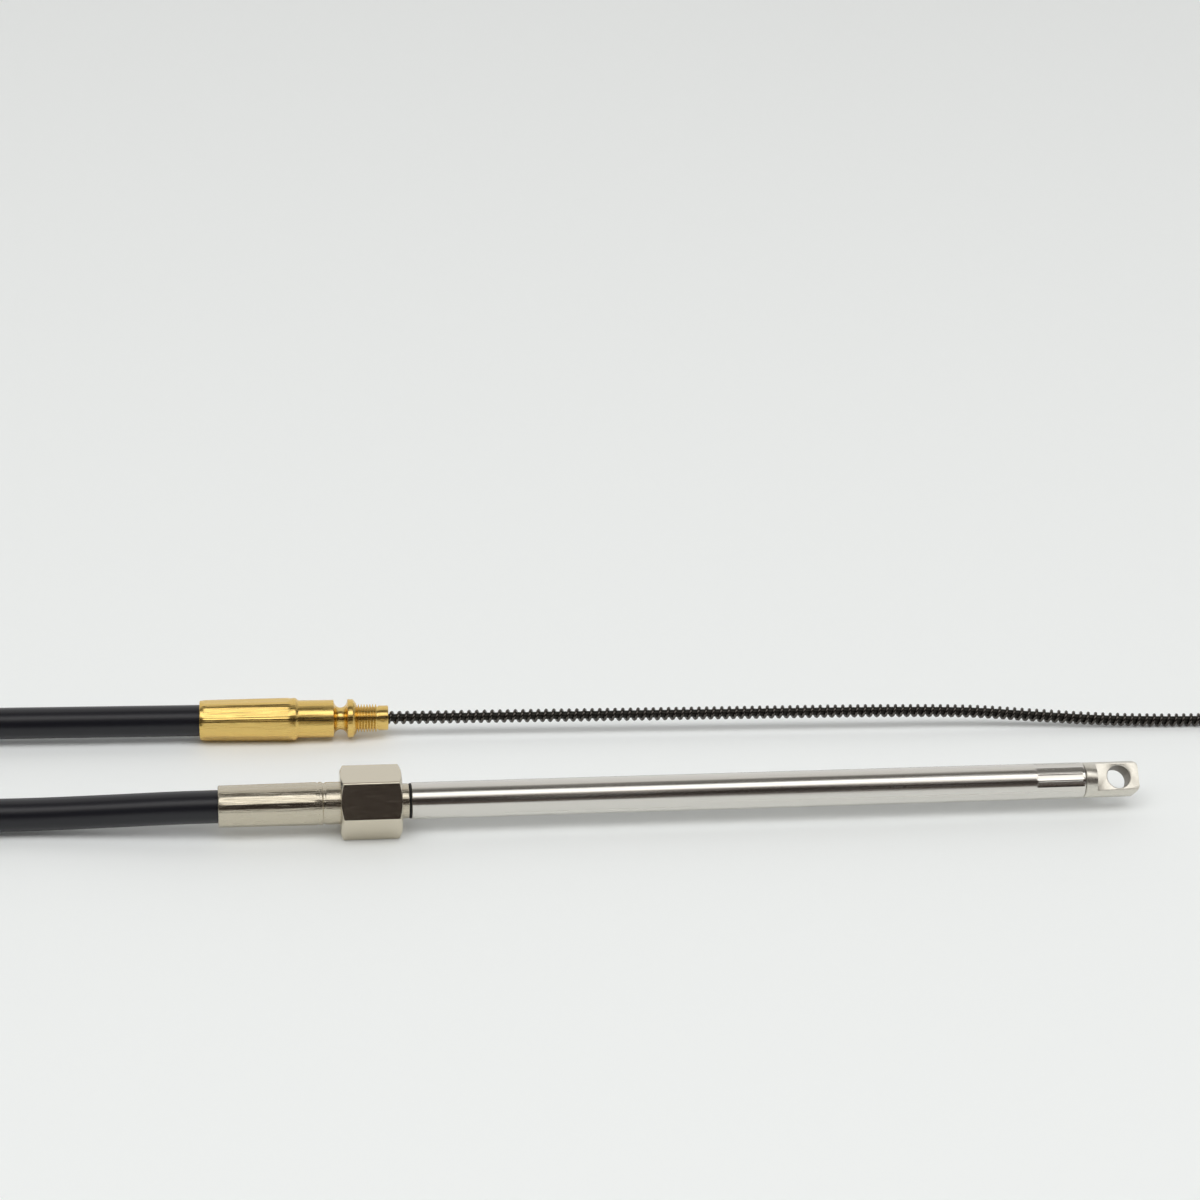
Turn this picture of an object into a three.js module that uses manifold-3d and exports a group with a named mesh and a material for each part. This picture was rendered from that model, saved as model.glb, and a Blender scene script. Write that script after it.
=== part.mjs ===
// A boat steering cable: a sliding ram end and a helm end, with the conduit between them put away in a coil.
// Millimetres, +Z up. X runs along the ram; the origin is under the hex nut's middle, on the surface it rests on.
import * as THREE from "three";
import Module from "manifold-3d";

const wasm = await Module();
wasm.setup();

// Driving dimensions
const GAP = 0.3; // between pieces that touch
const RAM_Z = 14; // the ram's axis: the nut rests on a flat 28 across flats
const NUT = { half: 13.1, flats: 28, bevel: 1.3, lipEnd: -8.5, lipBore: 9.4, bore: 10.6, lead: 0.9 };
const CONDUIT_R = 7.15;
// [radius, station] steps of the nickel fitting, from its rear to its collar's end
const NICKEL = {
  rear: -65,
  socket: 40,
  ferrule: [[8.8, -65], [8.95, -64.6], [9.2, -22.5], [9.2, -20.5], [8.85, -20], [9.1, -19.2], [9.1, -8.2]],
  flange: [[10.2, -8.2], [10.2, -3]],
  collar: { step: 0.39, from: -1, to: 16.2, edge: 0.4 },
};
const TUBE = { wall: 2.1, from: 4.3, to: 292 }; // the support tube inside the ram
const RAM = { r: 7.9375, wall: 1.4375, play: 0.5, from: 17.7, to: 313.9, crimp: 20.5, crimpTurn: 38 };
const WIPER = { step: 0.34, from: 16.5, to: 17.4 };
const EYE = { step: 0.14, spigot: 20, shoulder: 5.1, tip: 24.4, thick: 9.6, hole: 5.2, at: 15.4, tilt: 47, corner: 4 };
const HELM_LEAD = 248.6; // from the mouth back to the coil
const HELM = { x: 12.5, y: 84.2, z: 9.8, heading: -1.5 }; // the brass fitting's mouth and where it points
// [radius, station] steps of the brass fitting, from its rear
const BRASS = {
  length: 85,
  bore: 3.9,
  socket: 38,
  ferrule: [[8.8, 0], [9, 0.6], [9.55, 41.3], [9.7, 42.2], [9.7, 43.1], [8.55, 44.4]],
  groove: { r: 8.45, depth: 3.4, from: 60.3, half: 3.1 },
  nose: [[8.75, 66.8], [8.75, 69], [6.4, 70.8], [6.4, 80.3], [6, 80.8], [5.65, 80.8], [5.65, 84.6], [5.2, 85]],
};
const CORE_R = 3.1;
// The ram travels 229, and the straight part of the core goes as far into the fitting.
// route: [how far past the straight part, sideways, share of the drop to the surface]
const CORE = {
  tail: 3,
  straight: 234,
  tip: 9,
  route: [[38, 0.2, 0.2], [67, -0.2, 0.55], [98, -0.7, 0.88], [126, -1.1, 1], [164, -1.6, 1]],
};
// The engine end's conduit, from its ferrule to the coil
const ENGINE_ROUTE = [
  [-25.3, 0, 14], [-66, 0, 14], [-84, 0.9, 13.4], [-112, 3.8, 11.2], [-140, 6.6, 9.2], [-160, 7.2, 9],
  [-184, 5, 11.2], [-208, -0.8, 15.4], [-230.6, -9.8, 19.2],
];
const COIL = { x: -314, y: 34, lift: 1.6, inner: 63.5, rise: 14.2, lap: 14.2, ties: [110, 180, 250] };
const ROUND = 40; // sides of the turned pieces
const CORD_SIDES = 10;

const RAM_BORE = RAM.r - RAM.wall;
const TUBE_R = RAM_BORE - RAM.play;

// Small tools
const rad = THREE.MathUtils.degToRad;
const points = (list) => list.map(([r, x]) => new THREE.Vector2(r, x));
const at = (x, y, z) => new THREE.Vector3(x, y, z);

// A turned piece from [radius, station] pairs, its axis along +X.
function turned(profile, sides = ROUND) {
  return new THREE.LatheGeometry(points(profile), sides).rotateX(Math.PI / 2).rotateY(Math.PI / 2);
}

function solidOf(geometry) {
  const g = geometry.index ? geometry.toNonIndexed() : geometry;
  const p = g.attributes.position;
  const seen = new Map();
  const vert = [];
  const tri = [];
  for (let i = 0; i < p.count; i++) {
    const v = [p.getX(i), p.getY(i), p.getZ(i)];
    const key = v.map((c) => Math.round(c * 1e4)).join();
    if (!seen.has(key)) {
      seen.set(key, vert.length / 3);
      vert.push(...v);
    }
    tri.push(seen.get(key));
  }
  const kept = [];
  for (let i = 0; i < tri.length; i += 3) {
    const [a, b, c] = tri.slice(i, i + 3);
    if (a !== b && b !== c && a !== c) kept.push(a, b, c);
  }
  return new wasm.Manifold(
    new wasm.Mesh({ numProp: 3, vertProperties: new Float32Array(vert), triVerts: new Uint32Array(kept) }),
  );
}

function geometryOf(solid) {
  const mesh = solid.getMesh();
  const g = new THREE.BufferGeometry();
  g.setAttribute("position", new THREE.BufferAttribute(new Float32Array(mesh.vertProperties), 3));
  g.setIndex(new THREE.BufferAttribute(new Uint32Array(mesh.triVerts), 1));
  const flat = g.toNonIndexed();
  flat.computeVertexNormals();
  return flat;
}

const rod = (r, from, to, sides = ROUND) => turned([[0, from], [r, from], [r, to], [0, to]], sides);

// A round cord along a list of points, evenly stepped.
function cord(path, radius, steps, bore = 0) {
  const curve = new THREE.CatmullRomCurve3(path, false, "centripetal");
  const ring = (r) => {
    const s = new THREE.Path();
    for (let i = 0; i <= CORD_SIDES; i++) {
      const a = (2 * Math.PI * i) / CORD_SIDES;
      i ? s.lineTo(r * Math.cos(a), r * Math.sin(a)) : s.moveTo(r, 0);
    }
    return s;
  };
  const shape = new THREE.Shape(ring(radius).getPoints());
  if (bore) shape.holes.push(ring(bore));
  return new THREE.ExtrudeGeometry(shape, { steps, bevelEnabled: false, extrudePath: curve });
}

// Materials
const steel = (name, color, roughness) =>
  Object.assign(new THREE.MeshStandardMaterial({ color, metalness: 1, roughness }), { name });
const plain = (name, color, roughness) =>
  Object.assign(new THREE.MeshStandardMaterial({ color, metalness: 0, roughness }), { name });
const MATERIAL = {
  jacket: plain("conduit_jacket", 0x17191c, 0.45),
  brass: steel("brass", 0xb8923f, 0.25),
  nickel: steel("nickel_plate", 0xb9b2a4, 0.25),
  stainless: steel("stainless_tube", 0xb4b2ac, 0.25),
  oxide: steel("black_oxide_wire", 0x2a2826, 0.45),
  rubber: plain("wiper_rubber", 0x141414, 0.6),
  tie: plain("tie_plastic", 0x1a1b1d, 0.5),
};

const part = new THREE.Group();
part.name = "boat_steering_cable";
function add(name, geometry, material, where = (o) => o) {
  const mesh = new THREE.Mesh(geometry, material);
  mesh.name = name;
  where(mesh);
  part.add(mesh);
  return mesh;
}
const onRam = (o) => o.position.set(0, 0, RAM_Z);
const onHelm = (o) => {
  o.position.set(HELM.x, HELM.y, HELM.z);
  o.rotation.z = rad(HELM.heading);
};

// Engine end: crimped fitting, captive nut, support tube
function nickelFitting() {
  const { rear, socket: deep, ferrule, flange, collar } = NICKEL;
  const socket = CONDUIT_R + GAP;
  const neck = RAM.r - collar.step;
  const hole = TUBE_R + GAP;
  const floor = TUBE.from - GAP;
  return turned([
    [0, rear + deep], [socket, rear + deep], [socket, rear], ...ferrule, ...flange, [neck, collar.from],
    [neck, collar.to - collar.edge], [neck - collar.edge, collar.to], [hole, collar.to], [hole, floor], [0, floor],
  ]);
}

function hexNut() {
  const { half, flats, bevel, lipEnd, lipBore, bore, lead } = NUT;
  const corner = flats / 2 / Math.cos(Math.PI / 6);
  const prism = new THREE.CylinderGeometry(corner, corner, 2 * half, 6).rotateZ(Math.PI / 2).rotateX(Math.PI / 2);
  const cone = flats / 2 - 0.1;
  const bevelled = turned([
    [0, -half], [cone, -half], [corner + 0.2, -half + bevel], [corner + 0.2, half - bevel], [cone, half], [0, half],
  ], 60);
  const hole = turned([
    [0, -half - 1], [lipBore, -half - 1], [lipBore, lipEnd], [bore, lipEnd], [bore, half - 1],
    [bore + lead, half], [bore + lead, half + 1], [0, half + 1],
  ]);
  return geometryOf(solidOf(prism).intersect(solidOf(bevelled)).subtract(solidOf(hole)));
}

// The tube stands in the fitting; its bore is left open for the core inside.
function supportTube() {
  const { wall, from, to } = TUBE;
  const r = TUBE_R;
  const bore = r - wall;
  return turned([[bore, from], [r, from], [r, to - 0.5], [r - 0.5, to], [bore, to], [bore, from]], 28);
}

// The ram: tube, eye plug and wiper ring
function ramTube() {
  const { r, from, to, crimp, crimpTurn } = RAM;
  const bore = RAM_BORE;
  const tube = solidOf(turned([
    [bore, from], [r, from], [r, to - 0.4], [r - 0.4, to], [bore, to], [bore, from],
  ], 48));
  const jaws = new THREE.CylinderGeometry(r + 0.12, r + 0.12, crimp - 1.5, 8)
    .rotateZ(Math.PI / 2).rotateX(rad(crimpTurn)).translate(to - crimp / 2 - 0.6, 0, 0);
  const keep = solidOf(rod(r + 1, from - 1, to - crimp)).add(solidOf(rod(r + 1, to - 1, to + 1)));
  return geometryOf(tube.intersect(keep.add(solidOf(jaws)).add(solidOf(rod(r - 0.45, from, to + 1)))));
}

function eyePlug() {
  const { step, spigot, shoulder, tip, thick, hole, at: centre, corner } = EYE;
  const r = RAM.r - step;
  const seam = RAM.to + GAP;
  const round = solidOf(turned([
    [0, seam - spigot], [RAM_BORE - GAP, seam - spigot], [RAM_BORE - GAP, seam], [r - 0.4, seam], [r, seam + 0.4],
    [r, seam + tip], [0, seam + tip],
  ]));
  const shape = new THREE.Shape();
  const end = seam + tip;
  shape.moveTo(seam - spigot - 1, -9).lineTo(end - corner, -9).lineTo(end - corner, -r);
  shape.absarc(end - corner, -r + corner, corner, -Math.PI / 2, 0);
  shape.absarc(end - corner, r - corner, corner, 0, Math.PI / 2);
  shape.lineTo(end - corner, 9).lineTo(seam - spigot - 1, 9);
  const outline = solidOf(new THREE.ExtrudeGeometry(shape, { depth: 20, bevelEnabled: false, curveSegments: 6 })
    .translate(0, 0, -10));
  const side = (z) => solidOf(new THREE.BoxGeometry(30, 20, 10).translate(seam + shoulder + 15, 0, z));
  const drill = solidOf(new THREE.CylinderGeometry(hole, hole, 20, 32).rotateX(Math.PI / 2)
    .translate(seam + centre, 0, 0));
  const sink = solidOf(new THREE.LatheGeometry(
    points([[0, thick / 2 - 0.3], [hole, thick / 2 - 0.3], [hole + 0.9, thick / 2 + 0.6], [0, thick / 2 + 0.6]]), 32)
    .rotateX(Math.PI / 2).translate(seam + centre, 0, 0));
  return geometryOf(
    round.intersect(outline).subtract(side(thick / 2 + 5)).subtract(side(-thick / 2 - 5)).subtract(drill)
      .subtract(sink).subtract(sink.mirror([0, 0, 1])),
  );
}

// Helm end: the brass fitting, its mouth at station 0 and its rear at -length
function brassFitting() {
  const { length, bore, socket: deep, ferrule, groove, nose } = BRASS;
  const socket = CONDUIT_R + GAP;
  const arc = [];
  for (let i = 0; i <= 8; i++) {
    const a = (Math.PI * i) / 8;
    arc.push([groove.r - groove.depth * Math.sin(a), groove.from + groove.half * (1 - Math.cos(a))]);
  }
  const outside = [...ferrule, [ferrule[ferrule.length - 1][0], groove.from - 0.1], ...arc, ...nose];
  const steps = [[bore, length], [bore, deep], [socket, deep], [socket, 0], ...outside, [bore, length]];
  return turned(steps.map(([r, x]) => [r, x - length]));
}

// The core: straight while it can enter the fitting, then down to the surface
function corePath() {
  const { tail, straight, route } = CORE;
  const drop = CORE_R + 0.1 - HELM.z;
  const list = [at(-tail, 0, 0), at(straight / 3, 0, 0), at((2 * straight) / 3, 0, 0), at(straight, 0, -0.2)];
  for (const [x, y, share] of route) list.push(at(straight + x, y, drop * share));
  return list;
}

function coreTip() {
  const [past, sideways] = CORE.route[CORE.route.length - 1];
  const from = CORE.straight + past + GAP;
  return turned([[0, from], [3.1, from], [3.1, from + CORE.tip - 1], [2.2, from + CORE.tip], [0, from + CORE.tip]], 20)
    .translate(0, sideways, CORE_R + 0.1 - HELM.z);
}

// Conduit: the coil is one ring in the shape of its bundle, and each lead runs up to it
function helmLead() {
  const front = BRASS.socket - GAP - BRASS.length;
  return cord([at(front, 0, 0), at(-HELM_LEAD, 0, 0)], CONDUIT_R, 12, 4.75);
}

const engineLead = () => cord(ENGINE_ROUTE.map((p) => at(...p)), CONDUIT_R, 18);

// The bundle's section: two turns below, one above the inner of them; grown outwards by some margin.
function bundle(grow, chamfer) {
  const { inner, lap, rise } = COIL;
  const [a, b, m] = [inner - grow, inner + 2 * lap + grow, inner + lap + grow];
  const [low, mid, top, c] = [0.1 - grow, rise + grow, 2 * rise + grow, chamfer];
  return [
    [a, low + c], [a + c, low], [b - c, low], [b, low + c], [b, mid - c], [b - c, mid],
    [m, mid + c + 3], [m, top - c], [m - c, top], [a + c, top], [a, top - c],
  ];
}

const coil = () => new THREE.LatheGeometry(points([...bundle(0, 4), bundle(0, 4)[0]]), 44).rotateX(Math.PI / 2);

function tie() {
  const ring = bundle(1.4, 4).map(([x, y]) => new THREE.Vector2(x, y));
  const shape = new THREE.Shape(ring);
  shape.holes.push(new THREE.Path(bundle(0.4, 4).map(([x, y]) => new THREE.Vector2(x, y))));
  return new THREE.ExtrudeGeometry(shape, { depth: 4.5, bevelEnabled: false })
    .translate(0, 0, -2.25).rotateX(Math.PI / 2);
}

const onCoil = (angle) => (o) => {
  o.position.set(COIL.x, COIL.y, COIL.lift);
  o.rotation.z = rad(angle);
};

function wiperRing() {
  const { step, from, to } = WIPER;
  const r = RAM.r - step;
  const hole = TUBE_R + GAP;
  return turned([[hole, from], [r, from], [r, to], [hole, to], [hole, from]]);
}

add("nickel_fitting", nickelFitting(), MATERIAL.nickel, onRam);
add("hex_nut", hexNut(), MATERIAL.nickel, onRam);
add("support_tube", supportTube(), MATERIAL.stainless, onRam);
add("wiper_ring", wiperRing(), MATERIAL.rubber, onRam);
add("ram_tube", ramTube(), MATERIAL.stainless, onRam);
const eye = add("ram_eye", eyePlug(), MATERIAL.stainless, onRam);
eye.rotation.x = rad(EYE.tilt);
add("brass_fitting", brassFitting(), MATERIAL.brass, onHelm);
add("core_cable", cord(corePath(), CORE_R, 30), MATERIAL.oxide, onHelm);
add("core_tip", coreTip(), MATERIAL.oxide, onHelm);
add("conduit_helm_lead", helmLead(), MATERIAL.jacket, onHelm);
add("conduit_engine_lead", engineLead(), MATERIAL.jacket);
add("conduit_coil", coil(), MATERIAL.jacket, onCoil(0));
COIL.ties.forEach((angle, i) => add(`coil_tie_${i + 1}`, tie(), MATERIAL.tie, onCoil(angle)));

export default part;
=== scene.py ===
# %% [markdown]
# Boat steering cable: the looks
#
# A rotary helm's steering cable lies on a pale table. Its two ends are side by side: the sliding ram
# end with its nut and eye, and the brass helm end with the bare helix core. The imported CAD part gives
# every real place and size. Each visible piece here is a finer mesh on the same dimensions, so that it
# still moves with its CAD body. Lengths are typed in millimetres, as the part is drawn, and turned into
# metres where a mesh is made.

import math

import bpy
import numpy as np
from mathutils import Matrix, Vector


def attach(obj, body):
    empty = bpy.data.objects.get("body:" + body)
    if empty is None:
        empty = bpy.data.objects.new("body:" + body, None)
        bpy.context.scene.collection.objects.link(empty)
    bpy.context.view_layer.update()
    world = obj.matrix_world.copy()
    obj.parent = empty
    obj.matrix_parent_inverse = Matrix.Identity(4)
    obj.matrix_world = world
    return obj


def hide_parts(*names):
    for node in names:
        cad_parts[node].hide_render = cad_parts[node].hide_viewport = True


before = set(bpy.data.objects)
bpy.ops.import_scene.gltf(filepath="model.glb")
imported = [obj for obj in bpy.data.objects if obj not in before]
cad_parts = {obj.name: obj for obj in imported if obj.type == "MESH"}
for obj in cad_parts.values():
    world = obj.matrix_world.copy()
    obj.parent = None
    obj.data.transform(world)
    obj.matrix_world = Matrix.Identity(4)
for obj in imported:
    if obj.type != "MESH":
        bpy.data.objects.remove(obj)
MM = 0.001
scene = bpy.context.scene


def add_object(name, data):
    obj = bpy.data.objects.new(name, data)
    scene.collection.objects.link(obj)
    return obj


# %% [markdown]
# The camera
#
# The photo looks down on the cable by about 26 degrees with a long lens, and is turned a little to the
# right of square on the ram. The numbers come from the ends of the ram, the nut and the brass fitting
# in the photo, so the render can be laid over it. A plain 50 mm view from the front would be simpler,
# but its strong perspective would spread the two lines too far apart.

# %% Camera
PHOTO_SIDE = 1200
FOCAL_PX = 3000
SENSOR_MM = 36
CAMERA_MM = (-61.9, -1123.3, 653.8)
YAW, PITCH, ROLL = (math.radians(a) for a in (8.0, 25.7, 2.2))


def camera_axes():
    level = math.cos(PITCH)
    forward = Vector((math.sin(YAW) * level, math.cos(YAW) * level, -math.sin(PITCH)))
    right = Vector((math.cos(YAW), -math.sin(YAW), 0))
    up = right.cross(forward)
    turn = Matrix.Rotation(-ROLL, 3, forward)
    return turn @ right, turn @ up, forward


right, up, forward = camera_axes()
camera_data = bpy.data.cameras.new("camera")
camera_data.sensor_width = SENSOR_MM
camera_data.lens = FOCAL_PX / PHOTO_SIDE * SENSOR_MM
camera = add_object("camera", camera_data)
camera_turn = Matrix((right, up, -forward)).transposed().to_4x4()
camera.matrix_world = Matrix.Translation(Vector(CAMERA_MM) * MM) @ camera_turn
scene.camera = camera
print("lens", round(camera_data.lens, 1), "mm")

# %% [markdown]
# Small tools
#
# Nearly every piece is turned, crimped or drawn, so it is a surface given by a radius at each angle and
# each station along an axis. One function makes them all: the radius may change with the angle, which
# gives crimp marks, flats and a hexagon. Booleans and bevels would do the same with more steps and a
# less even mesh.

# %% Tools for meshes
def mesh_object(name, verts_mm, faces, material, smooth=True):
    mesh = bpy.data.meshes.new(name)
    mesh.from_pydata([tuple(v) for v in np.asarray(verts_mm) * MM], [], faces)
    mesh.materials.append(material)
    mesh.update()
    if smooth:
        mesh.shade_smooth()
    return add_object(name, mesh)


def grid_faces(rows, cols):
    """Quads between rows of points; each row is a ring."""
    faces = []
    for i in range(rows - 1):
        for j in range(cols):
            k = (j + 1) % cols
            faces.append((i * cols + j, i * cols + k, (i + 1) * cols + k, (i + 1) * cols + j))
    return faces


def turned(name, profile, material, radius=None, sides=96):
    """A turned piece along +X. profile is [(station, radius)]; radius(x, angle, r) may shape it."""
    angle = np.linspace(0, 2 * math.pi, sides, endpoint=False)
    verts = []
    for x, r in profile:
        ring = np.full(sides, float(r)) if radius is None else radius(x, angle, r)
        verts += list(zip(np.full(sides, float(x)), ring * np.cos(angle), ring * np.sin(angle)))
    return mesh_object(name, verts, grid_faces(len(profile), sides), material)


def unit(vectors):
    return vectors / np.linalg.norm(vectors, axis=1)[:, None]


def frames_along(path):
    """At each point of a path, the unit vectors sideways and across both side and path."""
    tangent = unit(np.gradient(path, axis=0))
    side = unit(np.cross(tangent, (0.0, 0.0, 1.0)))
    return side, np.cross(side, tangent)


def rings(side, over, sides):
    """Unit vectors at even angles round every point of a path."""
    angle = np.linspace(0, 2 * math.pi, sides, endpoint=False)
    sideways = side[:, None] * np.cos(angle)[None, :, None]
    return sideways + over[:, None] * np.sin(angle)[None, :, None]


def sweep(name, path, radius, sides, material):
    """A round tube along points in millimetres, open at both ends."""
    side, over = frames_along(path)
    verts = (path[:, None] + radius * rings(side, over, sides)).reshape(-1, 3)
    return mesh_object(name, verts, grid_faces(len(path), sides), material)


def smooth_path(points, step):
    """A centripetal Catmull-Rom line through points, evenly stepped."""
    p = np.asarray(points, float)
    p = np.vstack([2 * p[0] - p[1], p, 2 * p[-1] - p[-2]])
    out = []
    for a, b, c, d in zip(p, p[1:], p[2:], p[3:]):
        t = np.cumsum([0] + [np.linalg.norm(v) ** 0.5 for v in (b - a, c - b, d - c)])
        for s in np.linspace(t[1], t[2], 24, endpoint=False):
            u = [(t[i + 1] - s) / (t[i + 1] - t[i]) for i in range(3)]
            m = [u[i] * q + (1 - u[i]) * r for i, (q, r) in enumerate(((a, b), (b, c), (c, d)))]
            n = [
                ((t[i + 2] - s) * m[i] + (s - t[i]) * m[i + 1]) / (t[i + 2] - t[i])
                for i in range(2)
            ]
            out.append(((t[2] - s) * n[0] + (s - t[1]) * n[1]) / (t[2] - t[1]))
    return even(np.vstack([out, p[-2]]), step)


def even(path, step):
    """The same line with points at even steps."""
    pieces = np.linalg.norm(np.diff(path, axis=0), axis=1)
    along = np.concatenate([[0], np.cumsum(pieces)])
    s = np.linspace(0, along[-1], max(2, int(along[-1] / step) + 1))
    return np.stack([np.interp(s, along, path[:, i]) for i in range(3)], axis=1)


def place(obj, matrix, body, *nodes, slot=None):
    """Puts a piece in the part's frame, ties it to its body and hides the CAD nodes it stands for."""
    obj.matrix_world = matrix
    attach(obj, body)
    if nodes:
        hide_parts(*nodes)


RAM_HEIGHT = 14
ON_RAM = Matrix.Translation(Vector((0, 0, RAM_HEIGHT)) * MM)
HELM_MOUTH = np.array((12.5, 84.2, 9.8))
HELM_HEADING = math.radians(-1.5)
ON_HELM = Matrix.Translation(Vector(HELM_MOUTH) * MM) @ Matrix.Rotation(HELM_HEADING, 4, "Z")


def helm_point(x):
    """The point x millimetres past the helm fitting's mouth, on its axis."""
    return HELM_MOUTH + np.array((math.cos(HELM_HEADING) * x, math.sin(HELM_HEADING) * x, 0))


# %% [markdown]
# Tools for materials
#
# Each real finish here is one colour, one roughness and some fine grain. The helpers keep those three
# apart: a colour typed as an sRGB code, a noise stretched along the piece, and what the noise drives.
# An image texture would need a photo of the steel and UVs, and noise in the piece's own frame needs
# neither.

# %% Tools for materials
NOISE_LOW, NOISE_HIGH = 0.3, 0.7  # nearly all of the noise lies between these


def srgb(code):
    """Linear colour from an sRGB hex code."""
    parts = [int(code[i : i + 2], 16) / 255 for i in (1, 3, 5)]
    return [c / 12.92 if c <= 0.04045 else ((c + 0.055) / 1.055) ** 2.4 for c in parts] + [1.0]


def new_material(name, color, metallic, roughness, ior=None):
    material = bpy.data.materials.new(name)
    material.use_nodes = True
    shader = material.node_tree.nodes["Principled BSDF"]
    shader.inputs["Base Color"].default_value = srgb(color)
    shader.inputs["Metallic"].default_value = metallic
    shader.inputs["Roughness"].default_value = roughness
    if ior:
        shader.inputs["IOR"].default_value = ior
    return material


def node(material, kind, socket=None, source=None, **inputs):
    """Adds a node, wires one output into its socket and sets its other inputs."""
    made = material.node_tree.nodes.new(kind)
    for name, value in inputs.items():
        made.inputs[name].default_value = value
    if source:
        material.node_tree.links.new(source, made.inputs[socket])
    return made


def wire(material, socket, source):
    shader = material.node_tree.nodes["Principled BSDF"]
    material.node_tree.links.new(source.outputs[0], shader.inputs[socket])


def stretched_noise(material, per_mm, detail):
    """Noise in the piece's own frame; per_mm is how many grains a millimetre has along X, Y and Z."""
    coords = node(material, "ShaderNodeTexCoord")
    mapping = node(material, "ShaderNodeMapping", "Vector", coords.outputs["Object"])
    mapping.inputs["Scale"].default_value = [1000 * v for v in per_mm]
    return node(material, "ShaderNodeTexNoise", "Vector", mapping.outputs[0], Scale=1.0, Detail=detail)


def vary_roughness(material, noise, low, high):
    made = node(material, "ShaderNodeMapRange", "Value", noise.outputs[0])
    made.inputs["From Min"].default_value, made.inputs["From Max"].default_value = NOISE_LOW, NOISE_HIGH
    made.inputs["To Min"].default_value, made.inputs["To Max"].default_value = low, high
    wire(material, "Roughness", made)


def bump(material, noise, strength, depth_mm):
    depth = depth_mm * MM
    made = node(material, "ShaderNodeBump", "Height", noise.outputs[0], Strength=strength, Distance=depth)
    wire(material, "Normal", made)


def grained_metal(name, color, roughness, per_mm, detail, low, high, strength, depth_mm):
    """A metal whose grain drives its roughness, from low to high, and its bumps."""
    metal = new_material(name, color, 1.0, roughness)
    grain = stretched_noise(metal, per_mm, detail)
    vary_roughness(metal, grain, low, high)
    bump(metal, grain, strength, depth_mm)
    return metal


# %% [markdown]
# Materials
#
# The jacket is extruded black plastic with a soft sheen. The helm fitting is bright brass, drawn and
# crimped, so its reflections run along it in streaks. The nut and the ferrule are nickel plate, and the
# ram is a polished stainless tube with fine lines along it. The core is steel wire with black oxide and
# grease; its inner strand is darker still, which is painted shade between the turns of the wire. The
# drilled wall of the eye is darker steel, which is painted shade inside the hole. A metal here gets its
# colour from its base colour and its bands from the room, so the streaks are made by fine bumps and not
# by painted stripes.

# %% Materials
jacket_plastic = new_material("black plastic jacket", "#121219", 0.0, 0.34, 1.5)
bump(jacket_plastic, stretched_noise(jacket_plastic, (0.6, 0.6, 0.6), 3.0), 0.35, 0.05)
wiper_rubber = new_material("black rubber", "#101010", 0.0, 0.55, 1.52)
tie_plastic = new_material("black nylon", "#17181A", 0.0, 0.5, 1.53)

# Each row: name, colour, roughness, grains per mm, detail, smoothest, roughest, bump and its depth.
brass = grained_metal("brass", "#E9C778", 0.2, (0.06, 1.6, 1.6), 5.0, 0.12, 0.36, 0.85, 0.06)
nickel = grained_metal("nickel plate", "#CBC3B1", 0.22, (0.1, 1.8, 1.8), 3.0, 0.14, 0.32, 1.0, 0.07)
nut_nickel = grained_metal(
    "nickel plate on the nut", "#DAD2C0", 0.2, (0.25, 1.5, 1.5), 4.0, 0.15, 0.24, 0.5, 0.02
)
stainless = grained_metal(
    "stainless steel", "#DEDBD5", 0.16, (0.01, 1.1, 1.1), 5.0, 0.15, 0.3, 0.4, 0.03
)
machined = grained_metal(
    "machined stainless steel", "#DAD6CC", 0.3, (2.5, 2.5, 2.5), 3.0, 0.24, 0.4, 0.4, 0.03
)
# Darker than the machined steel: painted shade on the wall inside the eye's hole, with a rougher finish.
bore_painted_shade = new_material("drilled steel with painted shade", "#8C857C", 1.0, 0.45)
oxide_wire = new_material("black oxide steel", "#5B5753", 1.0, 0.15)
# The strand is darker than the wound wire: black oxide with painted shade between the turns.
strand_oxide_and_shade = new_material("black oxide strand with painted shade", "#34322F", 1.0, 0.34)
print("materials", [m.name for m in bpy.data.materials])

# %% [markdown]
# The conduit
#
# The conduit is one length of jacketed cable. It leaves the brass ferrule, runs straight as long as the
# core needs, goes round the coil and comes out on top towards the nickel ferrule. It is swept as one
# tube along that line, so there is no joint where a lead meets the coil, and it is open inside the
# ferrules, where the core goes in. The coil's turns lie side by side, with the last one on top, and
# each change of turn takes part of a lap.

# %% Conduit
JACKET_R = 7.1
COIL_X, COIL_Y = -314.0, 34.0
OUTER_R, INNER_R = 84.8, 70.6
LOW_Z, HIGH_Z = 8.8, 23.0
COIL_START, COIL_END = 90, 990  # degrees round the coil
INWARD_FROM, INWARD_LAP = 350, 62
UPWARD_FROM, UPWARD_LAP = 655, 65
JACKET_SIDES = 32


def ease(t):
    t = np.clip(t, 0, 1)
    return t * t * (3 - 2 * t)


def coil_path():
    deg = np.arange(COIL_START, COIL_END + 1, 1.5)
    r = OUTER_R + (INNER_R - OUTER_R) * ease((deg - INWARD_FROM) / INWARD_LAP)
    z = LOW_Z + (HIGH_Z - LOW_Z) * ease((deg - UPWARD_FROM) / UPWARD_LAP)
    a = np.radians(deg)
    return np.stack([COIL_X + r * np.cos(a), COIL_Y + r * np.sin(a), z], axis=1)


def hermite(p0, d0, p1, d1, count=40):
    """A curve from p0 to p1 that leaves along d0 and arrives along d1."""
    t = np.linspace(0, 1, count)[:, None]
    start = (2 * t**3 - 3 * t**2 + 1) * p0 + (t**3 - 2 * t**2 + t) * d0
    return start + (3 * t**2 - 2 * t**3) * p1 + (t**3 - t**2) * d1


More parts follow.
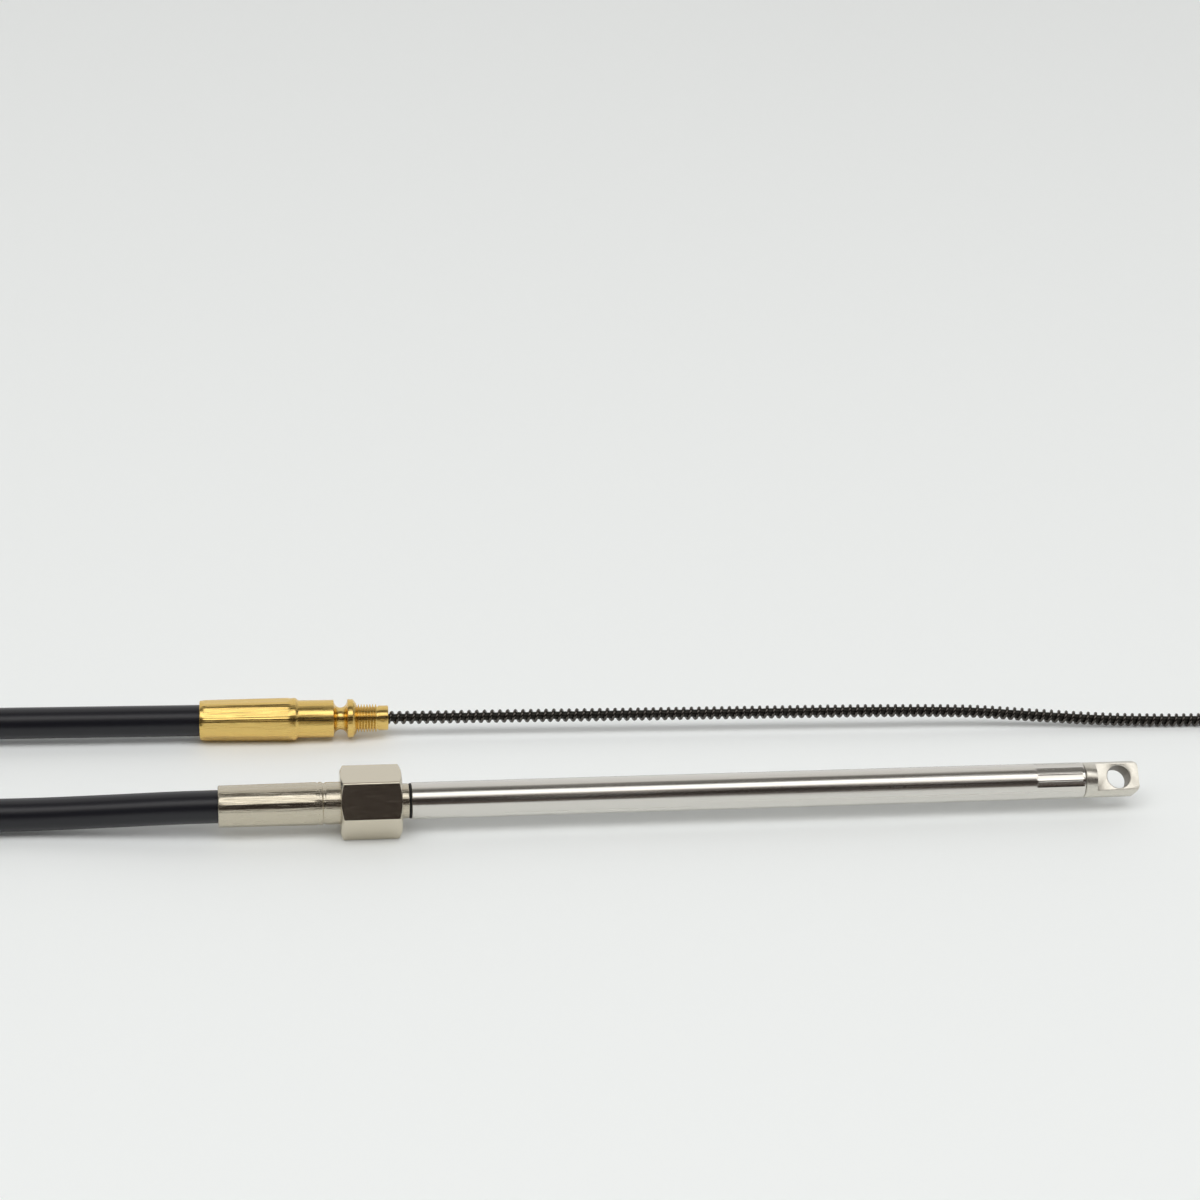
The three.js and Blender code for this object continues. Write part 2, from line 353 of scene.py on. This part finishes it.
turns = coil_path()
lead_end = helm_point(-236)
helm_side = even(np.vstack([helm_point(-47.4), helm_point(-140), lead_end]), 3)
back_along_helm = (helm_point(-100) - helm_point(0)) * 0.95
into_coil = hermite(lead_end, back_along_helm, turns[0], np.array((-95.0, 0, 0)))
engine_knots = [
    (-286, -33.4, 23.0), (-257, -23.2, 22.6), (-230.6, -9.8, 19.4), (-208, -0.8, 15.4),
    (-184, 5, 11.2), (-160, 7.2, 9), (-140, 6.6, 9.2), (-112, 3.8, 11.2), (-84, 0.9, 13.4),
    (-66, 0, RAM_HEIGHT), (-25.4, 0, RAM_HEIGHT),
]
engine_side = smooth_path([turns[-1], *engine_knots], 2.0)
conduit_path = even(np.vstack([helm_side, into_coil[1:], turns[1:], engine_side[1:]]), 2.5)
jacket = sweep("conduit_jacket", conduit_path, JACKET_R, JACKET_SIDES, jacket_plastic)
place(jacket, Matrix.Identity(4), "conduit",
      "conduit_helm_lead", "conduit_coil", "conduit_engine_lead", slot="conduit_jacket")
ties = [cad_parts[f"coil_tie_{i}"] for i in (1, 2, 3)]
for tie in ties:
    tie.data.materials.clear()
    tie.data.materials.append(tie_plastic)

# %% [markdown]
# The brass helm fitting
#
# It is a ferrule crimped on the jacket, a shank, a half-round locking groove, a flange and a short
# thread with a plain pilot. The crimp jaws leave eight flats with a fine ridge between each pair. The
# ridges are made by bending the radius with the angle, because they catch the light as the streaks in
# the photo.

# %% Brass fitting
BRASS_LENGTH = 85.0
BRASS_FERRULE_END = -43.4
BRASS_CRIMP = dict(start=-84.2, end=-43.9, jaws=8, depth=0.3, ridge=0.2, phase=math.radians(28.3))
GROOVE_START, GROOVE_HALF, GROOVE_DEPTH = 60.3, 3.1, 3.4
THREAD_START, THREAD_END, THREAD_PITCH = 70.9, 80.6, 1.3
THREAD_ROOT, THREAD_CREST = 4.95, 6.38
CRIMP_FADE = 1.5
RIDGE_WIDTH = 0.4


def ramp(x, points):
    xs, ys = zip(*points)
    return float(np.interp(x, xs, ys))


def crimped(x, angle, r, start, end, jaws, depth, ridge, phase):
    """Flats pressed between start and end, with a thin ridge of squeezed metal between two jaws."""
    a = (angle + phase) % (2 * math.pi / jaws) - math.pi / jaws
    fade = ease((x - start) / CRIMP_FADE) * ease((end - x) / CRIMP_FADE)
    flat = np.minimum(r, (r - depth) / np.cos(a))
    edge = np.abs(np.abs(a) - math.pi / jaws)
    line = ridge * np.exp(-((edge * r / RIDGE_WIDTH) ** 2))
    return r + fade * (flat - r + line)


def groove():
    for a in np.linspace(0, math.pi, 24):
        yield GROOVE_START + GROOVE_HALF * (1 - math.cos(a)), 8.42 - GROOVE_DEPTH * math.sin(a)


def thread():
    x = THREAD_START
    while x + THREAD_PITCH < THREAD_END:
        yield from [(x, THREAD_ROOT), (x + 0.12, THREAD_ROOT), (x + 0.55, THREAD_CREST)]
        yield from [(x + 0.8, THREAD_CREST), (x + THREAD_PITCH - 0.08, THREAD_ROOT)]
        x += THREAD_PITCH


def brass_profile():
    """Stations are drawn from the ferrule's open end and moved so that the mouth is at 0."""
    p = [(37.5, 7.3), (0, 7.4), (0, 8.75), (0.2, 8.9)]
    p += [(x, ramp(x, [(0.5, 9.0), (41.3, 9.55)])) for x in np.arange(0.5, 41.2, 0.6)]
    p += [(41.5, 9.57), (41.9, 9.66), (42.3, 9.7), (43.0, 9.68), (43.3, 9.5), (44.2, 8.7)]
    p += [(44.5, 8.57), (46, 8.55), (50, 8.55), (54, 8.55), (58, 8.55), (59.9, 8.55), (60.2, 8.5)]
    p += groove()
    p += [(66.6, 8.6), (66.85, 8.75), (68.8, 8.75), (69.05, 8.6), (70.5, 6.75), (70.8, 5.75)]
    p += thread()
    p += [(80.7, 5.62), (84.5, 5.65), (84.85, 5.5), (85, 5.25), (85, 4.15), (84.6, 3.95), (46, 3.95)]
    return [(x - BRASS_LENGTH, r) for x, r in p]


def brass_radius(x, angle, r):
    on_ferrule = x < BRASS_FERRULE_END and r > 8.8
    return crimped(x, angle, r, **BRASS_CRIMP) if on_ferrule else np.full_like(angle, r)


fitting = turned("brass_helm_fitting", brass_profile(), brass, brass_radius, 192)
place(fitting, ON_HELM, "conduit", "brass_fitting", slot="brass")
print("brass fitting", len(fitting.data.polygons), "faces")

# %% [markdown]
# The nickel ferrule
#
# The ferrule is crimped like the brass one, with softer marks. Its shank goes on into the nut, which
# turns on it, and past the nut its collar carries the ram's open end.

# %% Nickel fitting
NICKEL_CRIMP = dict(start=-64.2, end=-23.0, jaws=8, depth=0.12, ridge=0.05, phase=math.radians(20))


def nickel_profile():
    p = [(-25.5, 7.3), (-65, 7.35), (-65, 8.55), (-64.8, 8.8)]
    p += [(x, ramp(x, [(-64.6, 8.95), (-23.4, 9.2)])) for x in np.arange(-64.6, -23.4, 0.6)]
    p += [(-23.1, 9.15), (-22.7, 8.85), (-22.3, 9.05), (-21.7, 9.25), (-21.0, 9.22), (-20.6, 8.95)]
    p += [(-20.3, 8.7), (-19.8, 8.68), (-19.4, 9.0), (-18.8, 9.1), (-16, 9.1), (-13, 9.1)]
    p += [(-8.3, 9.1), (-8.2, 10.1), (-3, 10.1), (-1.2, 7.55), (5, 7.55), (13.4, 7.55), (15.9, 7.55)]
    p += [(16.25, 7.45), (16.4, 7.25), (16.4, 6.35), (5, 6.3)]
    return p


def nickel_radius(x, angle, r):
    on_ferrule = -64.7 < x < -20 and r > 8
    return crimped(x, angle, r, **NICKEL_CRIMP) if on_ferrule else np.full_like(angle, r)


ferrule = turned("nickel_ferrule", nickel_profile(), nickel, nickel_radius, 192)
place(ferrule, ON_RAM, "conduit", "nickel_fitting", slot="nickel_plate")
print("nickel ferrule", len(ferrule.data.polygons), "faces")

# %% [markdown]
# The captive nut
#
# The real nut is cut from a hexagonal bar and turned at both ends, which leaves a cone over its
# corners. A bevel on a hexagonal prism would make flat corners. Here the radius at each angle is the
# smaller of the hexagon and the cone, blended a little, so the arcs on the flats come by themselves.

# %% Hex nut
NUT_FLATS = 28.0
NUT_FILLET = 1.2
NUT_HALF = 13.1
CONE_AT_FACE, CONE_SLOPE = 13.7, 1.9
BLEND = 6.0
HEXAGON = -1  # stands in the profile for the hexagon's radius


def hexagon(angle, flats, fillet):
    """The radius of a hexagon with a flat facing down and its corners rounded by a fillet."""
    a = np.abs((angle + math.pi / 6) % (math.pi / 3) - math.pi / 6)
    inset = flats / 2 - fillet
    half_flat = inset * math.tan(math.pi / 6)
    toward = inset * np.cos(a) + half_flat * np.sin(a)
    beyond = np.maximum(toward**2 - inset**2 - half_flat**2 + fillet**2, 0)
    on_flat = flats / 2 * np.tan(a) < half_flat
    return np.where(on_flat, flats / 2 / np.cos(a), toward + np.sqrt(beyond))


def nut_radius(x, angle, r):
    """The hexagon, cut by the chamfer cones with a soft minimum; other radii stay."""
    if r != HEXAGON:
        return np.full_like(angle, r)
    middle = NUT_FLATS / 2
    hexa = hexagon(angle + math.pi / 2, NUT_FLATS, NUT_FILLET)
    cone = CONE_AT_FACE + (NUT_HALF - abs(x)) * CONE_SLOPE
    both = np.exp(-BLEND * (hexa - middle)) + np.exp(-BLEND * (cone - middle))
    return middle - np.log(both) / BLEND


def nut_profile():
    h = NUT_HALF
    steps = (0, 0.03, 0.1, 0.2, 0.35, 0.5, 0.7, 0.9, 1.1, 1.3, 1.5, 1.8, 2.2, 2.7)
    ends = [h - d for d in steps]
    p = [(-8.5, 10.6), (-8.5, 9.45), (0.3 - h, 9.45), (-h, 9.7), (-h, 12.8), (-h, 13.3)]
    p += [(x, HEXAGON) for x in [-e for e in ends] + list(np.arange(-9.5, 9.6, 1.0)) + ends[::-1]]
    p += [(h, 13.3), (h, 12.8), (h, 11.6), (h - 0.9, 10.7), (-8.5, 10.6)]
    return p


nut = turned("captive_hex_nut", nut_profile(), nut_nickel, nut_radius, 360)
place(nut, ON_RAM, "nut", "hex_nut", slot="nickel_plate")
print("nut", len(nut.data.polygons), "faces")

# %% [markdown]
# The ram
#
# The ram is a stainless tube that slides over a fixed support tube. A rubber wiper sits on its open
# end. The other end is crimped on the eye plug by many narrow jaws, which leave fine lines along it.

# %% Ram tube and wiper
RAM_R = 7.9375
RAM_CRIMP_FROM = 291
RAM_CRIMP = dict(start=291.2, end=313.7, jaws=16, depth=0.22, ridge=0.1, phase=math.radians(8.5))


def ram_profile():
    p = [(30, 6.5), (17.6, 6.5), (17.4, 6.7), (17.4, 7.75), (17.5, 7.88), (17.7, RAM_R)]
    p += [(x, RAM_R) for x in np.linspace(20, 290, 28)]
    p += [(x, RAM_R) for x in np.arange(RAM_CRIMP_FROM, 313.4, 0.4)]
    p += [(313.55, 7.93), (313.75, 7.85), (313.85, 7.65), (313.85, 6.6)]
    return p


def ram_radius(x, angle, r):
    on_crimp = x >= RAM_CRIMP_FROM and r >= 7.93
    return crimped(x, angle, r, **RAM_CRIMP) if on_crimp else np.full_like(angle, r)


WIPER = [(16.5, 6.35), (16.5, 7.4), (16.7, 7.6), (17.2, 7.6), (17.4, 7.4), (17.4, 6.35), (16.5, 6.35)]
tube = turned("ram_tube_skin", ram_profile(), stainless, ram_radius, 192)
place(tube, ON_RAM, "ram", "ram_tube", slot="stainless_tube")
wiper = turned("ram_wiper", WIPER, wiper_rubber)
place(wiper, ON_RAM, "ram", "wiper_ring", slot="wiper_rubber")
print("ram tube", len(tube.data.polygons), "faces")

# %% [markdown]
# The eye plug
#
# The eye is milled from round bar and drilled across its two flats. It could be modelled again here,
# but the CAD mesh is already exact, so it is copied, its split edges are welded and a small bevel wears
# the edges round. The drilled wall gets its own rougher steel, whose darker colour is painted shade
# inside the hole.

# %% Eye and support tube
EYE_MIDDLE = Vector((0.3296, 0, 0.014))
EYE_TILT = math.radians(47)
EYE_AXIS = Vector((0, -math.sin(EYE_TILT), math.cos(EYE_TILT)))
BORE_REACH = 0.00522  # faces whose middles are nearer to the axis are the hole's wall

eye = add_object("ram_eye_plug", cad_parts["ram_eye"].data.copy())
eye.data.materials.clear()
eye.data.materials.append(machined)
eye.modifiers.new("weld", "WELD").merge_threshold = 0.01 * MM
bevel = eye.modifiers.new("bevel", "BEVEL")
bevel.width, bevel.segments, bevel.angle_limit = 0.3 * MM, 3, math.radians(28)
bevel.harden_normals = True
eye.data.shade_smooth()
place(eye, Matrix.Identity(4), "ram", "ram_eye", slot="stainless_tube")

# The hole's wall takes the darker steel, which is painted shade inside the hole.
eye.data.materials.append(bore_painted_shade)
for face in eye.data.polygons:
    offset = face.center - EYE_MIDDLE
    if (offset - EYE_AXIS * offset.dot(EYE_AXIS)).length < BORE_REACH:
        face.material_index = 1
print("eye", len(eye.data.polygons), "faces")

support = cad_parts["support_tube"]
support.data.materials.clear()
support.data.materials.append(stainless)

# %% [markdown]
# The helix core
#
# The core is a strand of fine wires with one heavy wire wound round it, which is what runs in the
# helm's gear. The strand and the heavy wire are swept along the same line, the strand's wires as
# shallow ridges that twist the other way. A bump texture could fake the winding, but the outline in the
# photo is notched, so the wire is real geometry.

# %% Core
CORE_R = 3.1
WIRE_R, WINDING_R, WINDING_PITCH = 0.8, 3.18, 3.53
STRAND_R, STRAND_WIRES, STRAND_LAY = 1.75, 7, 17.0
WIRE_SIDES, STRAND_SIDES = 10, 28
CORE_LENGTH = 398
CORE_DROP = CORE_R + 0.1 - HELM_MOUTH[2]  # from the mouth's axis down to where the core lies

line = smooth_path(
    [(-3, 0, 0), (78, 0, 0), (156, 0, 0), (234, 0, -0.2), (271.7, 0.2, CORE_DROP * 0.2),
     (301.2, -0.2, CORE_DROP * 0.55), (332.4, -0.7, CORE_DROP * 0.88), (360.3, -1.1, CORE_DROP),
     (CORE_LENGTH, -1.6, CORE_DROP)],
    0.16,
)
side, over = frames_along(line)
along = np.arange(len(line)) * np.linalg.norm(line[1] - line[0])
phase = 2 * math.pi * along / WINDING_PITCH
radial = side * np.cos(phase)[:, None] + over * np.sin(phase)[:, None]
helix = line + radial * (WINDING_R - WIRE_R)


def wire_tube(name, path, outward, radius, sides, material):
    """A round wire with closed ends, whose rings keep facing outward."""
    t = unit(np.gradient(path, axis=0))
    b = unit(np.cross(t, outward))
    verts = (path[:, None] + radius * rings(np.cross(b, t), b, sides)).reshape(-1, 3)
    n = len(verts)
    caps = [tuple(range(sides))[::-1], tuple(range(n - sides, n))]
    return mesh_object(name, verts, grid_faces(len(path), sides) + caps, material)


def strand(name, material, sides):
    """The inner strand; a dent between each two of its wires twists along it."""
    coarse = slice(None, None, 4)
    a = np.linspace(0, 2 * math.pi, sides, endpoint=False)
    twist = a[None, :] + 2 * math.pi * along[coarse][:, None] / STRAND_LAY
    lobes = STRAND_R - 0.2 * np.abs(np.sin(STRAND_WIRES * twist / 2)) ** 6
    spread = lobes[:, :, None] * rings(side[coarse], over[coarse], sides)
    verts = (line[coarse][:, None] + spread).reshape(-1, 3)
    return mesh_object(name, verts, grid_faces(len(lobes), sides), material)


winding = wire_tube("core_helix_wire", helix[::2], radial[::2], WIRE_R, WIRE_SIDES, oxide_wire)
# The strand between the turns takes the darker oxide, which is partly painted shade.
inner = strand("core_strand", strand_oxide_and_shade, STRAND_SIDES)
place(winding, ON_HELM, "core", "core_cable", slot="black_oxide_wire")
place(inner, ON_HELM, "core", slot="black_oxide_wire")
SLEEVE = [(398.2, 0), (398.2, 2.8), (398.5, 3.05), (406.6, 3.05), (407.2, 2.6), (407.3, 0)]
tip = turned("core_end_sleeve", SLEEVE, oxide_wire, sides=48)
tip_place = ON_HELM @ Matrix.Translation(Vector((0, -1.6, CORE_DROP)) * MM)
place(tip, tip_place, "core", "core_tip", slot="black_oxide_wire")
print("core turns", round(CORE_LENGTH / WINDING_PITCH))

# %% [markdown]
# The table and the light
#
# The photo is a product shot on a pale sheet. One broad lamp overhead gives the table its even light
# and the soft shadow under each piece. It is hidden from reflections, where the room stands for it. A
# smaller lamp would be simpler to place, but its shadows would be harder than the photo's.

# %% Table and lamp
TABLE_HALF = 9000
LAMP_AT = Vector((0.1, -1.36, 2.9))
LAMP_AIM = Vector((0.1, 0.05, 0))
LAMP_SIZE = (4.6, 3.0)
LAMP_WATTS = 54

table_paper = new_material("pale table", "#F2F5F5", 0.0, 0.6, 1.45)
sheet = [(x * TABLE_HALF, y * TABLE_HALF, 0) for x, y in ((-1, -1), (1, -1), (1, 1), (-1, 1))]
table = mesh_object("table", sheet, [(0, 1, 2, 3)], table_paper, smooth=False)

lamp_data = bpy.data.lights.new("overhead softbox", "AREA")
lamp_data.shape = "RECTANGLE"
lamp_data.size, lamp_data.size_y = LAMP_SIZE
lamp_data.energy = LAMP_WATTS
lamp = add_object("overhead softbox", lamp_data)
lamp.location = LAMP_AT
lamp.rotation_euler = (LAMP_AIM - LAMP_AT).to_track_quat("-Z", "Y").to_euler()
lamp.visible_glossy = False
print("lamp", LAMP_WATTS, "W")

# %% [markdown]
# The room in the reflections
#
# Polished metal looks like what stands round it: the bright sheet below, a dim room behind the camera,
# a narrow bright softbox above it, a dark ceiling and a pale wall beyond. Large white cards in the
# scene would give the same bands, but they would also be seen by the camera from other sides. A ramp in
# the world over the height angle is always far away, so the bands stay straight along the ram.

# %% Room
# Height angle in degrees from the camera's side over the top to the far side, and the light there.
BANDS = [
    (0, "#8E8078", 0.5), (18, "#5E5450", 0.26), (36, "#5E5450", 0.3), (48, "#9A8F88", 0.6),
    (53, "#FFFDF8", 1.7), (74, "#FFFFFF", 2.1), (79, "#6E6A64", 0.6), (106, "#8C8A86", 0.7),
    (112, "#F4F2EE", 0.85), (180, "#F2F3F4", 0.95),
]
# The room is dimmer towards both ends of the ram, which draws the thread, the winding and the edges.
DIMMER = {"From Min": 0.4, "From Max": 0.9, "To Min": 1.0, "To Max": 0.5}

world = bpy.data.worlds.new("room")
world.use_nodes = True
nodes, links = world.node_tree.nodes, world.node_tree.links


def room_math(operation, *values):
    """The output of a math node in the room; a value is a number or another node's output."""
    made = nodes.new("ShaderNodeMath")
    made.operation = operation
    for socket, value in zip(made.inputs, values):
        if isinstance(value, float):
            socket.default_value = value
        else:
            links.new(value, socket)
    return made.outputs[0]


direction = nodes.new("ShaderNodeSeparateXYZ")
links.new(nodes.new("ShaderNodeTexCoord").outputs["Generated"], direction.inputs[0])
x, y, z = direction.outputs

# Just under the horizon the room repeats what is over it, so no dark line shows past the table's edge.
height = room_math("ARCTAN2", room_math("ABSOLUTE", z), room_math("MULTIPLY", y, -1.0))
bands = nodes.new("ShaderNodeValToRGB")
links.new(room_math("DIVIDE", height, math.pi), bands.inputs["Fac"])
while len(bands.color_ramp.elements) < len(BANDS):
    bands.color_ramp.elements.new(0.5)
for element, (degrees, color, light) in zip(bands.color_ramp.elements, BANDS):
    element.position = degrees / 180
    element.color = [c * light for c in srgb(color)[:3]] + [1.0]

dimmer = nodes.new("ShaderNodeMapRange")
dimmer.interpolation_type = "SMOOTHSTEP"
for name, value in DIMMER.items():
    dimmer.inputs[name].default_value = value
links.new(room_math("ABSOLUTE", x), dimmer.inputs["Value"])
links.new(bands.outputs["Color"], nodes["Background"].inputs["Color"])
links.new(dimmer.outputs[0], nodes["Background"].inputs["Strength"])
scene.world = world
scene.view_settings.view_transform = "Standard"
scene.view_settings.look = "None"
scene.view_settings.exposure = 0.0
print("room bands", len(BANDS))

# %% [markdown]
# Update
#
# The scene is updated once more, so every piece's world matrix is current.


bpy.context.view_layer.update()
